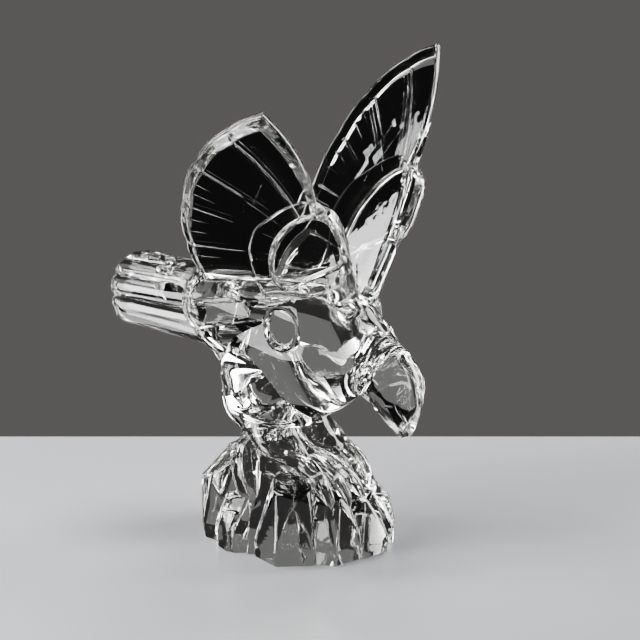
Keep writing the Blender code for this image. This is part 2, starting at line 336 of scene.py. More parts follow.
# On the head and neck, as share along the body and turn round it: the folds, brow, jaw and cere stand
# out, and the mouth is cut in. A row is radius, how far out, then the places.
NECK_FOLDS = (
    (2.6, -1.5, (0.56, 150), (0.6, 128), (0.61, 108), (0.6, 92)),
    (2.2, -1.2, (0.68, 160), (0.678, 128), (0.69, 108), (0.7, 92)),
)
BROW = ((1.0, -0.1, (0.835, 156), (0.832, 143), (0.835, 130), (0.845, 126), (0.862, 127), (0.892, 129)),)
CERE = ((0.5, -0.1, (0.868, 141), (0.88, 137), (0.895, 132), (0.9, 118)),)
JAW = ((0.7, -0.2, (0.815, 196), (0.83, 188), (0.845, 178), (0.857, 172)),)
MOUTH = ((0.9, -0.1, (0.85, 169), (0.883, 165), (0.918, 159), (0.935, 158), (0.957, 167), (0.967, 180)),)
EYE_PLACE = (0.858, 148)
EYE_OUT = -0.3
EYE_RADIUS = 1.5
EYE_RING = 2.3
EYE_RING_RADIUS = 0.4

# The rows of strokes on the rock's front: the boulder that carries them, their height and their sizes
STROKE_BOULDER = 1
STROKE_RISE = 13.5
STROKE_ROWS = 2
STROKES_IN_ROW = 8
STROKE_WIDTH = 0.55
STROKE_HEIGHT = 2.0
STROKE_PITCH = 1.35
STROKE_THICKNESS = 2.2  # in widths, half of it in the glass
STROKE_ROW_STEP = 1.6  # in heights
STROKE_LEANS = (-0.5, 0.3)
STROKE_SHORTEST = 0.5
STROKE_SEED = 7

# How lines are laid: sides of a bead, points of a line, and how its ends thin out
BEAD_SIDES = 12
LINE_POINTS = 13
LINE_SINK = 0.35  # the share of its radius by which a feather line lies deeper
POINTS_PER_PLACE = 8
LINE_TAPER = 4
WING_LINE_END = 0.05
BODY_LINE_END = 0.1
BODY_LINE_SCALE = 300  # weighs a share along the body against degrees round it
EYE_RINGS = 9
EYE_POLE = 0.02  # the smallest ring, as a share of the eye
EYE_SIDES = 28
EYE_RING_POINTS = 40

# The glass
GLASS_COLOUR = (0.975, 0.98, 0.965, 1)
GLASS_IOR = 1.545
WAVE_SCALE = 90
WAVE_STRENGTH = 0.06
WAVE_DEPTH = 0.0006
HAZE_SCALE = 260
POLISHED = (0.0, 0.03)
ETCHED = (0.45, 0.6)
SHARP_EDGE = math.radians(30)

# The camera, as the photograph sees the eagle
CAMERA_BEARING = math.radians(-58)
CAMERA_RISE = math.radians(17.2)
CAMERA_REACH = 2.0
CAMERA_AIM = Vector((0.0063, -0.0085, 0.108))
METRES_PER_PIXEL = 0.000475
FRAME_PIXELS = 640
SENSOR = 36
NEAREST_SEEN = 0.05

# The light. Places are right of, behind and above the eagle's foot, as the camera sees it. A softbox is
# its name, place, width, height and power.
SOFTBOXES = (
    ("glow behind", (0, 0.62, 0.01), 0.75, 0.58, 0.15),
    ("left softbox", (-0.78, 0.17, 0.47), 0.22, 0.4, 3),
    ("high front softbox", (-0.75, -0.3, 0.75), 0.5, 0.4, 8),
    ("low front softbox", (-0.78, -0.42, 0.12), 0.45, 0.5, 5),
    ("low front softbox, middle", (-0.78, -0.42, 0.12), 0.28, 0.35, 3),
    ("low front softbox, heart", (-0.78, -0.4, 0.12), 0.14, 0.18, 1),
    ("right softbox", (0.75, 0.25, 0.3), 0.3, 0.7, 6),
    ("top softbox", (0, 0.2, 0.9), 0.5, 0.25, 5),
    ("right front strip", (0.8, -0.4, 0.3), 0.1, 0.6, 1.5),
)
LIGHT_AIM = Vector((0, 0, 0.12))
# The card behind the wings is painted shade: a near-black sheet that only the glass shows, so the wings
# look dark
PAINTED_SHADE_CARD = (0.005, 0.145, 0.145, 0.17, 0.115)  # right, behind, up, width and height
TABLE_TOP = (0.7, 0.147, -0.0002)  # half width, half depth and height
GRAIN_SCALE = 40
GRAIN_STRENGTH = 0.03
BOUNCES = 24
GLOSSY_BOUNCES = 12
BRIGHTEST_BOUNCE = 8
BACKDROP = (0.1, 0.095, 0.095)
ROOM_IN_GLASS = (0.035, 0.034, 0.034)


def eagle_point(x, y, z):
    """A point of the eagle in millimetres above the perch, as a place in the model."""
    return Vector((x, y, z + PERCH)) * MM


def curve_through(rows, count):
    """count rows from a smooth curve through the given rows, evenly along their first two columns."""
    rows = np.array(rows, float)
    at = np.concatenate([[0], np.cumsum(np.linalg.norm(np.diff(rows[:, :2], axis=0), axis=1))])
    slopes = np.gradient(rows, at, axis=0)
    wanted = np.linspace(0, at[-1], count)
    k = np.clip(np.searchsorted(at, wanted, side="right") - 1, 0, len(rows) - 2)
    gap = (at[k + 1] - at[k])[:, None]
    t = (wanted - at[k])[:, None] / gap
    return (
        (2 * t**3 - 3 * t**2 + 1) * rows[k]
        + (t**3 - 2 * t**2 + t) * gap * slopes[k]
        + (3 * t**2 - 2 * t**3) * rows[k + 1]
        + (t**3 - t**2) * gap * slopes[k + 1]
    )


def as_object(name, bm):
    """The bmesh as an object of triangles that face outwards."""
    bmesh.ops.recalc_face_normals(bm, faces=bm.faces)
    bmesh.ops.triangulate(bm, faces=bm.faces)
    mesh = bpy.data.meshes.new(name)
    bm.to_mesh(mesh)
    bm.free()
    obj = bpy.data.objects.new(name, mesh)
    bpy.context.scene.collection.objects.link(obj)
    return obj


def skin(name, rings):
    """A closed object whose surface runs through rings of points, each with the same count."""
    bm = bmesh.new()
    loops = [[bm.verts.new(p) for p in ring] for ring in rings]
    for near, far in zip(loops, loops[1:]):
        for k in range(len(near)):
            j = (k + 1) % len(near)
            bm.faces.new((near[k], near[j], far[j], far[k]))
    bm.faces.new(loops[0])
    bm.faces.new(loops[-1])
    return as_object(name, bm)


def oval(centre, across, upward, half_width, half_depth, sides):
    """A ring of points round a centre."""
    turns = (math.tau * k / sides for k in range(sides))
    return [
        eagle_point(*(centre + across * (half_width * math.cos(a)) + upward * (half_depth * math.sin(a))))
        for a in turns
    ]


def body():
    """The body, neck and head in one smooth form, from the rump to the beak."""
    rings = []
    for top_y, top_z, low_y, low_z, half_width in curve_through(BODY_STATIONS, BODY_RINGS):
        top, low = Vector((0, top_y, top_z)), Vector((0, low_y, low_z))
        upward = (top - low).normalized()
        half_depth = (top - low).length / 2
        rings.append(oval((top + low) / 2, Vector((1, 0, 0)), upward, half_width, half_depth, BODY_SIDES))
    return skin("body", rings)


def body_place(share, turn, out=0.0):
    """A place on the body's skin: share along it from rump to beak, turn round it, and out from it."""
    rows = curve_through(BODY_STATIONS, FINE_RINGS)

    def spot(along, a):
        row = [np.interp(along, np.linspace(0, 1, FINE_RINGS), column) for column in rows.T]
        top, low = Vector((0, row[0], row[1])), Vector((0, row[2], row[3]))
        middle, half = (top + low) / 2, (top - low) / 2
        return middle + Vector((row[4] * math.cos(a), 0, 0)) + half * math.sin(a)

    a = math.radians(turn)
    here = spot(share, a)
    ahead = spot(min(share + NUDGE_ALONG, 1), a) - spot(share - NUDGE_ALONG, a)
    around = spot(share, a + NUDGE_ROUND) - spot(share, a - NUDGE_ROUND)
    normal = around.cross(ahead).normalized()
    middle = spot(share, 0) * 0.5 + spot(share, math.pi) * 0.5
    if normal.dot(here - middle) < 0:
        normal = -normal
    return here + normal * out, normal


def wing_point(side, chord, span, out):
    """A place of a wing, from its place in the wing's own plane. side is 1 for the left wing."""
    turn, lean = WING_FLARE, WING_LEAN
    chord_way = Vector((math.sin(turn), math.cos(turn), 0))
    outer_way = Vector(
        (math.cos(turn) * math.cos(lean), -math.sin(turn) * math.cos(lean), -math.sin(lean))
    )
    span_way = outer_way.cross(chord_way)
    p = WING_ORIGIN + chord_way * chord + span_way * span + outer_way * out
    return eagle_point(side * p.x, p.y, p.z)


def feather_place(lines, v, share):
    """A place of a feather fan in its wing's plane: v counts feather lines, share runs outwards."""
    count = len(lines) - 1
    rows = curve_through(
        [line[2:4] + line[:2] + line[4:] for line in lines], PLACES_PER_FEATHER * count + 1
    )
    steps = np.linalg.norm(np.diff(np.array(lines)[:, 2:4], axis=0), axis=1)
    ends = np.concatenate([[0], np.cumsum(steps)]) / steps.sum()
    at = np.interp(v, range(count + 1), ends)
    outer_chord, outer_span, inner_chord, inner_span, bow = (
        np.interp(at, np.linspace(0, 1, len(rows)), column) for column in rows.T
    )
    inner, outer = Vector((inner_chord, inner_span)), Vector((outer_chord, outer_span))
    along = (outer - inner).normalized()
    u = v % 1
    outer -= along * (FEATHER_TIP * (2 * u - 1) ** 2)
    front = Vector((-along.y, along.x))
    return inner.lerp(outer, share) + front * (bow * 4 * share * (1 - share)), (outer - inner).length


def blade(name, side, lines, lift):
    """A fan of feathers: stepped and bevelled round its rim outside, flat inside."""
    count = len(lines) - 1
    stops = [(feather + u, u) for feather in range(count) for u in FEATHER_STOPS]
    if lines is UPPER_LINES:
        stops = sorted(stops + [(u, u) for u in FRONT_STOPS])
    made = []
    for v, u in stops + [(count, 0.5)]:
        inside = min(v, count - JUST_BEFORE)
        _, length = feather_place(lines, inside, 1)
        rim = 1 - RIM_WIDTH / length
        shares = [*BLADE_SHARES, rim - RIM_BEVEL, rim, rim + RIM_BEVEL]
        shares += [rim + (1 - rim) * step for step in RIM_SHARES]
        outside, within = [], []
        for share in shares:
            place, _ = feather_place(lines, inside, share)
            back = BLADE_THICKNESS / 2 - BLADE_TAPER * share
            fade = max(LEAST_STEP, (share - STEP_START) / (1 - STEP_START))
            if v < FRONT_FEATHERS and lines is UPPER_LINES:
                fade = 1
            front = back + FEATHER_STEP * fade * (0.5 - u)
            edge = min(1.0, v / FRONT_EDGE) if lines is UPPER_LINES else 1.0
            drop = max(0.0, (share - rim) / (1 - rim), 1 - edge)
            if drop == 0 and share > rim - 0.001:
                front += RIM_RIDGE
            front += (RIM_THICKNESS - back - front) * drop
            rounding = max(0.0, (drop - EDGE_START) / (1 - EDGE_START)) ** 2
            outside.append((place, front - EDGE_ROUNDINGS[0] * rounding))
            within.append((place, -back + EDGE_ROUNDINGS[1] * rounding))
        around = outside + within[::-1]
        made.append([wing_point(side, place.x, place.y, lift + out) for place, out in around])
    return skin(name, made)


def arm(side):
    """The wing's arm: the thick leading edge from the shoulder to the wrist, with a ridge along it."""
    rings = []
    for chord, span, radius in curve_through(ARM_STATIONS, ARM_RINGS):
        ring = []
        for k in range(ARM_SIDES):
            a = math.tau * k / ARM_SIDES
            ridge = 1 + ARM_RIDGE * max(0, math.cos(a - math.pi)) ** ARM_RIDGE_SHARPNESS
            forward = chord + radius * ridge * math.cos(a)
            ring.append(wing_point(side, forward, span, ARM_FLATNESS * radius * math.sin(a)))
        rings.append(ring)
    return skin("arm", rings)


def closed_curve(points, count):
    """count places evenly round a smooth closed curve through the points."""
    looped = np.array(list(points[-2:]) + list(points) + list(points[:2]), float)
    at = np.concatenate([[0], np.cumsum(np.linalg.norm(np.diff(looped, axis=0), axis=1))])
    path = curve_through([(*point, 0) for point in looped], OUTLINE_POINTS)[:, :2]
    wanted = np.linspace(at[2], at[-2], count, endpoint=False)
    reach = np.linspace(0, at[-1], OUTLINE_POINTS)
    return np.column_stack([np.interp(wanted, reach, column) for column in path.T])


def pad(name, outline, middle, levels, profile, place):
    """A raised pad of the given profile. place turns (u, v, level) into a point."""
    start, end = levels
    spokes = closed_curve(outline, PAD_SIDES) - np.array(middle)
    ways = spokes / np.linalg.norm(spokes, axis=1)[:, None]
    rings = []
    for level, offset, share in profile:
        ring = np.array(middle) + spokes * share + ways * offset
        rings.append([place(u, v, start + (end - start) * level) for u, v in ring])
    return skin(name, rings)


def pads(side):
    """The pads on both faces of a wing and the muscle below its root."""

    def inner_place(u, v, out):
        lean = INNER_PAD_TURN * (u - INNER_PAD_MIDDLE[0]) if out < 0 else 0
        return wing_point(side, u, v, out + lean)

    def drop_place(u, v, out):
        return eagle_point(side * out, u, v)

    outer_place = partial(wing_point, side)
    return [
        pad("outer_pad", OUTER_PAD, OUTER_PAD_MIDDLE, OUTER_PAD_LEVELS, RING_PROFILE, outer_place),
        pad("inner_pad", INNER_PAD, INNER_PAD_MIDDLE, INNER_PAD_LEVELS, PLATE_PROFILE, inner_place),
        pad("drop", DROP, DROP_MIDDLE, DROP_LEVELS, RING_PROFILE, drop_place),
    ]


def tail():
    """The tail: an arched fan of long fluted feathers."""
    rings = []
    steps = TAIL_FEATHERS * TAIL_STEPS
    for k in range(steps + 1):
        v = k / steps
        u = (k % TAIL_STEPS) / TAIL_STEPS
        turn = (2 * v - 1) * TAIL_ARCH
        edge = abs(2 * v - 1)
        end = TAIL_END - TAIL_ROUNDING * edge**TAIL_ROUNDING_POWER - TAIL_SCALLOP * (2 * u - 1) ** 4
        around = []
        crown = math.sqrt(max(0.0, 1 - (2 * u - 1) ** 2))
        for share in TAIL_SHARES:
            half = TAIL_VALLEY + TAIL_FLUTE * crown
            tip = max(0.0, (share - TAIL_TIP_START) / (1 - TAIL_TIP_START))
            around.append((share, half + (TAIL_TIP_HALF - half) * tip**TAIL_TIP_POWER))
        around += [(share, -half) for share, half in reversed(around)]
        ring = []
        for share, half in around:
            width = np.interp(share, (0, 1), TAIL_HALF_WIDTHS) / math.sin(TAIL_ARCH)
            droop = np.interp(share, (0, 1), TAIL_DROOPS) / (1 - math.cos(TAIL_ARCH))
            normal = Vector((math.sin(turn) * droop, math.cos(turn) * width)).normalized()
            x = width * math.sin(turn) + half * normal.x
            z = TAIL_RIDGE - droop * (1 - math.cos(turn)) + half * normal.y
            ring.append(eagle_point(x, TAIL_ROOT + (end - TAIL_ROOT) * share, z))
        rings.append(ring)
    return skin("tail", rings)


def leg(side, name, stations):
    """A part of a feathered leg: the thigh, the cuff below it or the shin inside them."""
    rings = []
    for back, up, out, across, along, rise in curve_through(stations, LEG_RINGS):
        backward = Vector((0, 1, rise)).normalized()
        centre = Vector((side * out, back, up))
        rings.append(oval(centre, Vector((1, 0, 0)), backward, across, along, LEG_SIDES))
    return skin(name, rings)


def lobe(side, name, stations):
    """A rounded form along a bent path, such as a tuft or the back toe."""
    rows = curve_through(stations, LOBE_RINGS)
    ways = np.gradient(rows[:, :3], axis=0)
    rings = []
    for (back, up, out, radius), way in zip(rows, ways):
        along = Vector((side * way[2], way[0], way[1])).normalized()
        across = along.cross(Vector((0, 1, 0))).normalized()
        centre = Vector((side * out, back, up))
        rings.append(oval(centre, across, along.cross(across), radius, radius, LOBE_SIDES))
    return skin(name, rings)


def toe(side, shift, angle, scale):
    """A toe with four rounded swellings, which arches over the edge of the rock to its claw."""
    ankle_out, ankle_back, ankle_up = ANKLES[side]
    turn = math.radians(side * angle)
    heading = Vector((math.sin(turn), -math.cos(turn), 0))
    across = Vector((0, 0, 1)).cross(heading)
    rows = curve_through(TOE_STATIONS, TOE_RINGS)
    ways = np.gradient(rows[:, :2], axis=0)
    rings = []
    for k, ((reach, up, radius), (forward, rise)) in enumerate(zip(rows, ways)):
        root = Vector((side * (ankle_out + shift), ankle_back, ankle_up + up))
        centre = root + heading * (reach * scale)
        along = (heading * forward + Vector((0, 0, rise))).normalized()
        radius *= TOE_SLIMNESS + TOE_SWELL * abs(math.sin(math.pi * TOE_SWELLINGS * k / (TOE_RINGS - 1)))
        rings.append(oval(centre, across, across.cross(along), radius, radius, TOE_SIDES))
    return skin("toe", rings)


def shoulder(side):
    """The muscle that joins the wing's root to the body."""
    rings = []
    for back, up, out, across, upward in curve_through(SHOULDER_STATIONS, SHOULDER_RINGS):
        centre = Vector((side * out, back, up))
        rings.append(oval(centre, Vector((1, 0, 0)), Vector((0, 0, 1)), across, upward, SHOULDER_SIDES))
    return skin("shoulder", rings)


def rock_point(x, y, z):
    """A point of the rock in millimetres above the table, as a place in the model."""
    return Vector((x, y, z)) * MM


def boulder(bearing, reach, radius, height, taper, slope, twist):
    """One block of the rock: a foot, wide and narrow facets in turn, a slanted top and ground edges."""
    turn = math.radians(bearing)
    outward = Vector((math.sin(turn), -math.cos(turn)))
    bm = bmesh.new()
    for z, share, offset in ((-SUNK, BOULDER_FOOT, 0.5), (BOULDER_RIM, 1, 0.5), (height, taper, 0)):
        for k in range(BOULDER_SIDES):
            a = turn + math.radians(twist + 360 / BOULDER_SIDES * (k + offset))
            spoke = Vector((math.sin(a), -math.cos(a))) * (share * radius)
            place = outward * reach + spoke
            slant = slope * spoke.dot(outward) if z == height else 0
            bm.verts.new(rock_point(place.x, place.y, z - slant))
    hull = bmesh.ops.convex_hull(bm, input=bm.verts)
    bmesh.ops.delete(bm, geom=hull["geom_unused"], context="VERTS")
    bmesh.ops.dissolve_limit(bm, angle_limit=0.001, verts=bm.verts, edges=bm.edges)
    bmesh.ops.bevel(
        bm,
        geom=list(bm.edges),
        offset=GROUND_EDGE * MM,
        segments=3,
        profile=0.5,
        affect="EDGES",
        clamp_overlap=True,
    )
    return as_object("boulder", bm)


def facet_spot(row, rise):
    """A spot in the middle of a boulder's outward facet at a height, and the way the facet looks."""
    bearing, reach, radius, height, taper, slope, twist = row
    turn, way = math.radians(bearing), math.radians(bearing + twist)
    outward = Vector((math.sin(turn), -math.cos(turn)))
    facing = Vector((math.sin(way), -math.cos(way)))
    foot, head = radius * math.cos(math.pi / BOULDER_SIDES), radius * taper
    climb = height - slope * head * facing.dot(outward) - BOULDER_RIM
    place = outward * reach + facing * (foot + (head - foot) * (rise - BOULDER_RIM) / climb)
    return Vector((*place, rise)), Vector((*(facing * climb), foot - head)).normalized()


def mound():
    """The middle of the rock, which joins the boulders and carries the feet."""
    rings = []
    for z, radius in MOUND_STATIONS:
        turns = (k * math.tau / MOUND_SIDES for k in range(MOUND_SIDES))
        rings.append([rock_point(radius * math.sin(a), radius * math.cos(a), z) for a in turns])
    return skin("mound", rings)


def saw():
    """What the saw takes off below the rock's flat underside."""
    signs = ((-1, -1), (1, -1), (1, 1), (-1, 1))
    corners = [(x * SAW_HALF_WIDTH, y * SAW_HALF_WIDTH) for x, y in signs]
    return skin("saw", [[rock_point(x, y, z) for x, y in corners] for z in (-SAW_DEPTH, 0)])


def line_object(name, lines):
    """A curve object of open lines. Each line is a list of (place, radius in millimetres)."""
    curve = bpy.data.curves.new(name, "CURVE")
    curve.dimensions = "3D"
    for line in lines:
        spline = curve.splines.new("POLY")
        spline.points.add(len(line) - 1)
        for point, (place, radius) in zip(spline.points, line):
            point.co = (*place, 1)
            point.radius = radius
    obj = bpy.data.objects.new(name, curve)
    bpy.context.scene.collection.objects.link(obj)
    return obj


def bead_tree(material):
    """Geometry Nodes: a round bead laid along every line, as thick as the line's own radius."""
    tree = bpy.data.node_groups.new("bead along a line", "GeometryNodeTree")
    face = tree.interface
    face.new_socket("Geometry", in_out="INPUT", socket_type="NodeSocketGeometry")
    sides = face.new_socket("Sides", in_out="INPUT", socket_type="NodeSocketInt")
    sides.default_value = BEAD_SIDES
    size = face.new_socket("Radius unit", in_out="INPUT", socket_type="NodeSocketFloat")
    size.default_value = MM
    face.new_socket("Geometry", in_out="OUTPUT", socket_type="NodeSocketGeometry")
    nodes, links = tree.nodes, tree.links
    start, end = nodes.new("NodeGroupInput"), nodes.new("NodeGroupOutput")
    circle = nodes.new("GeometryNodeCurvePrimitiveCircle")
    radius = nodes.new("GeometryNodeInputRadius")
    tube = nodes.new("GeometryNodeCurveToMesh")
    tube.inputs["Fill Caps"].default_value = True
    real = nodes.new("GeometryNodeRealizeInstances")
    finish = nodes.new("GeometryNodeSetMaterial")
    finish.inputs["Material"].default_value = material
    links.new(start.outputs["Sides"], circle.inputs["Resolution"])
    links.new(start.outputs["Radius unit"], circle.inputs["Radius"])
    links.new(start.outputs["Geometry"], tube.inputs["Curve"])
    links.new(circle.outputs["Curve"], tube.inputs["Profile Curve"])
    links.new(radius.outputs["Radius"], tube.inputs["Scale"])
    links.new(tube.outputs["Mesh"], real.inputs["Geometry"])
    links.new(real.outputs["Geometry"], finish.inputs["Geometry"])
    links.new(finish.outputs["Geometry"], end.inputs["Geometry"])
    return tree, sides.identifier, size.identifier


def beads(name, lines, tree):
    """The beads along the lines as one plain mesh object."""
    group, sides_input, size_input = tree
    source = line_object(name + "_lines", lines)
    modifier = source.modifiers.new("beads", "NODES")
    modifier.node_group = group
    modifier[sides_input] = BEAD_SIDES
    modifier[size_input] = MM
    graph = bpy.context.evaluated_depsgraph_get()
    mesh = bpy.data.meshes.new_from_object(source.evaluated_get(graph))
    bpy.data.objects.remove(source)
    bm = bmesh.new()
    bm.from_mesh(mesh)
    bpy.data.meshes.remove(mesh)
    bmesh.ops.remove_doubles(bm, verts=bm.verts, dist=1e-7)
    return as_object(name, bm)


def feather_lines(side, lines, lift, face, rows):
    """Lines on one face of a feather fan: face is 1 outside and -1 inside.

    A row is v, first share, last share and the radius at each end.
    """
    last_v = len(lines) - 1 - JUST_BEFORE
    made = []
    for v, first, last, thin, thick in rows:
        line = []
        for k in range(LINE_POINTS):
            step = k / (LINE_POINTS - 1)
            share = first + (last - first) * step
            place, _ = feather_place(lines, min(v, last_v), share)
            radius = thin + (thick - thin) * step
            half = BLADE_THICKNESS / 2 - BLADE_TAPER * share - LINE_SINK * radius
            line.append((wing_point(side, place.x, place.y, lift + face * half), radius))
        made.append(line)
    return made


def wing_lines(side, rows):
    """Lines through places of the wing's plane. A row is radius, height out, then (chord, span) places."""
    made = []
    for radius, out, *places in rows:
        path = curve_through([(*place, 0) for place in places], POINTS_PER_PLACE * len(places))
        along = np.linspace(0, 1, len(path))
        ends = np.minimum(1, WING_LINE_END + LINE_TAPER * np.minimum(along, along[::-1]))
        spots = [wing_point(side, chord, span, out) for chord, span, _ in path]
        made.append([(spot, radius * end) for spot, end in zip(spots, ends)])
    return made


def body_lines(side, rows):
    """Lines on the body's skin. A row is radius, how far out, then (share, turn) places."""
    made = []
    for radius, out, *places in rows:
        path = curve_through(
            [(share * BODY_LINE_SCALE, turn, 0) for share, turn in places], POINTS_PER_PLACE * len(places)
        )
        line = []
        for k, (share, turn, _) in enumerate(path):
            place, _ = body_place(share / BODY_LINE_SCALE, turn if side < 0 else 180 - turn, out)
            end = min(1, BODY_LINE_END + LINE_TAPER * min(k, len(path) - 1 - k) / len(path))
            line.append((eagle_point(*place), radius * end))
        made.append(line)
    return made


def eye(side):
    """The eye: a domed bead in a ring."""
    share, turn = EYE_PLACE
    place, normal = body_place(share, turn if side < 0 else 180 - turn, EYE_OUT)
    across = normal.cross(Vector((0, 0, 1))).normalized()
    upward = across.cross(normal)
    rings = []
    for k in range(EYE_RINGS):
        a = math.pi / 2 * (k / (EYE_RINGS - 1) * 2 - 1)
        centre = place + normal * (EYE_RADIUS * math.sin(a))
        around = EYE_RADIUS * max(EYE_POLE, math.cos(a))
        rings.append(oval(centre, across, upward, around, around, EYE_SIDES))
    ring = [
        (eagle_point(*(place + (across * math.cos(a) + upward * math.sin(a)) * EYE_RING)), EYE_RING_RADIUS)
        for a in (math.tau * k / EYE_RING_POINTS for k in range(EYE_RING_POINTS))
    ]
    return skin("eye", rings), ring + ring[:1]


def stroke_rows(tree, materials):
    """The rows of short strokes that are cut into the front of the rock."""
    group, inputs = tree
    bm = bmesh.new()
    bm.verts.new((0, 0, 0))
    mesh = bpy.data.meshes.new("strokes")
    bm.to_mesh(mesh)
    bm.free()
    source = bpy.data.objects.new("strokes", mesh)
    bpy.context.scene.collection.objects.link(source)
    modifier = source.modifiers.new("rows", "NODES")
    modifier.node_group = group
    sizes = {
        "Rows": STROKE_ROWS,
        "Strokes": STROKES_IN_ROW,
        "Width": STROKE_WIDTH * MM,
        "Height": STROKE_HEIGHT * MM,
        "Pitch": STROKE_PITCH * MM,
        "Seed": STROKE_SEED,
    }
    for label, value in sizes.items():
        modifier[inputs[label]] = value
    graph = bpy.context.evaluated_depsgraph_get()
    cut = bpy.data.meshes.new_from_object(source.evaluated_get(graph))
    bpy.data.objects.remove(source)
    place, normal = facet_spot(BOULDERS[STROKE_BOULDER], STROKE_RISE)
    across = Vector((0, 0, 1)).cross(normal).normalized()
    upward = normal.cross(across)
    turn = Matrix((across, upward, normal)).transposed().to_4x4()
    cut.transform(Matrix.Translation(rock_point(*place)) @ turn)
    bm = bmesh.new()
    bm.from_mesh(cut)
    bpy.data.meshes.remove(cut)
    bmesh.ops.remove_doubles(bm, verts=bm.verts, dist=1e-8)
    for face in bm.faces:
        face.material_index = 1
    strokes = as_object("strokes", bm)
    for material in materials:
        strokes.data.materials.append(material)
    return strokes


def stroke_tree(material):
    """Geometry Nodes: rows of thin upright bars on a plane, each leaning and shortened a little."""
    tree = bpy.data.node_groups.new("rows of strokes", "GeometryNodeTree")
    face = tree.interface
    face.new_socket("Geometry", in_out="INPUT", socket_type="NodeSocketGeometry")
    inputs = {}
    for label, kind in (("Rows", "Int"), ("Strokes", "Int"), ("Width", "Float"), ("Height", "Float"),
                        ("Pitch", "Float"), ("Seed", "Int")):
        inputs[label] = face.new_socket(label, in_out="INPUT", socket_type="NodeSocket" + kind).identifier
    face.new_socket("Geometry", in_out="OUTPUT", socket_type="NodeSocketGeometry")
    nodes, links = tree.nodes, tree.links
    start, end = nodes.new("NodeGroupInput"), nodes.new("NodeGroupOutput")

    def maths(operation, left, right):
        node = nodes.new("ShaderNodeMath")
        node.operation = operation
        for socket, value in zip(node.inputs, (left, right)):
            if isinstance(value, float):
                socket.default_value = value
            else:
                links.new(value, socket)
        return node.outputs[0]

    grid = nodes.new("GeometryNodeMeshGrid")
    links.new(start.outputs["Strokes"], grid.inputs["Vertices X"])
    links.new(start.outputs["Rows"], grid.inputs["Vertices Y"])
    links.new(maths("MULTIPLY", start.outputs["Strokes"], start.outputs["Pitch"]), grid.inputs["Size X"])
    row_step = maths("MULTIPLY", start.outputs["Height"], STROKE_ROW_STEP)
    links.new(maths("MULTIPLY", start.outputs["Rows"], row_step), grid.inputs["Size Y"])
    bar = nodes.new("GeometryNodeMeshCube")
    size = nodes.new("ShaderNodeCombineXYZ")
    links.new(start.outputs["Width"], size.inputs["X"])
    links.new(start.outputs["Height"], size.inputs["Y"])
    links.new(maths("MULTIPLY", start.outputs["Width"], STROKE_THICKNESS), size.inputs["Z"])
    links.new(size.outputs["Vector"], bar.inputs["Size"])
    place = nodes.new("GeometryNodeInstanceOnPoints")
    lean = nodes.new("FunctionNodeRandomValue")
    lean.data_type = "FLOAT_VECTOR"
    lean.inputs["Min"].default_value = (0, 0, STROKE_LEANS[0])
    lean.inputs["Max"].default_value = (0, 0, STROKE_LEANS[1])
    length = nodes.new("FunctionNodeRandomValue")
    length.data_type = "FLOAT_VECTOR"
    length.inputs["Min"].default_value = (1, STROKE_SHORTEST, 1)
    length.inputs["Max"].default_value = (1, 1, 1)
    for random in (lean, length):
        links.new(start.outputs["Seed"], random.inputs["Seed"])
    links.new(grid.outputs["Mesh"], place.inputs["Points"])
    links.new(bar.outputs["Mesh"], place.inputs["Instance"])
    links.new(lean.outputs["Value"], place.inputs["Rotation"])
    links.new(length.outputs["Value"], place.inputs["Scale"])
    real = nodes.new("GeometryNodeRealizeInstances")
    finish = nodes.new("GeometryNodeSetMaterial")
    finish.inputs["Material"].default_value = material
    links.new(place.outputs["Instances"], real.inputs["Geometry"])
    links.new(real.outputs["Geometry"], finish.inputs["Geometry"])
    links.new(finish.outputs["Geometry"], end.inputs["Geometry"])
    return tree, inputs


def crystal(name, smoothest, roughest):
    """Lead crystal between two roughnesses, slightly warm, with the faint waves of a pressed surface."""
    material = bpy.data.materials.new(name)
    material.use_nodes = True
    nodes, links = material.node_tree.nodes, material.node_tree.links
    shader = nodes["Principled BSDF"]
    shader.inputs["Base Color"].default_value = GLASS_COLOUR
    shader.inputs["Transmission Weight"].default_value = 1
    shader.inputs["IOR"].default_value = GLASS_IOR
    place = nodes.new("ShaderNodeTexCoord")
    waves = nodes.new("ShaderNodeTexNoise")
    waves.inputs["Scale"].default_value = WAVE_SCALE
    waves.inputs["Detail"].default_value = 2
    bump = nodes.new("ShaderNodeBump")
    bump.inputs["Strength"].default_value = WAVE_STRENGTH
    bump.inputs["Distance"].default_value = WAVE_DEPTH
    haze = nodes.new("ShaderNodeTexNoise")
    haze.inputs["Scale"].default_value = HAZE_SCALE
    haze.inputs["Detail"].default_value = 4
    rough = nodes.new("ShaderNodeMapRange")
    rough.inputs["To Min"].default_value = smoothest
    rough.inputs["To Max"].default_value = roughest
    links.new(place.outputs["Object"], waves.inputs["Vector"])
    links.new(place.outputs["Object"], haze.inputs["Vector"])
    links.new(waves.outputs["Fac"], bump.inputs["Height"])
    links.new(bump.outputs["Normal"], shader.inputs["Normal"])
    links.new(haze.outputs["Fac"], rough.inputs["Value"])
    links.new(rough.outputs["Result"], shader.inputs["Roughness"])
    return material


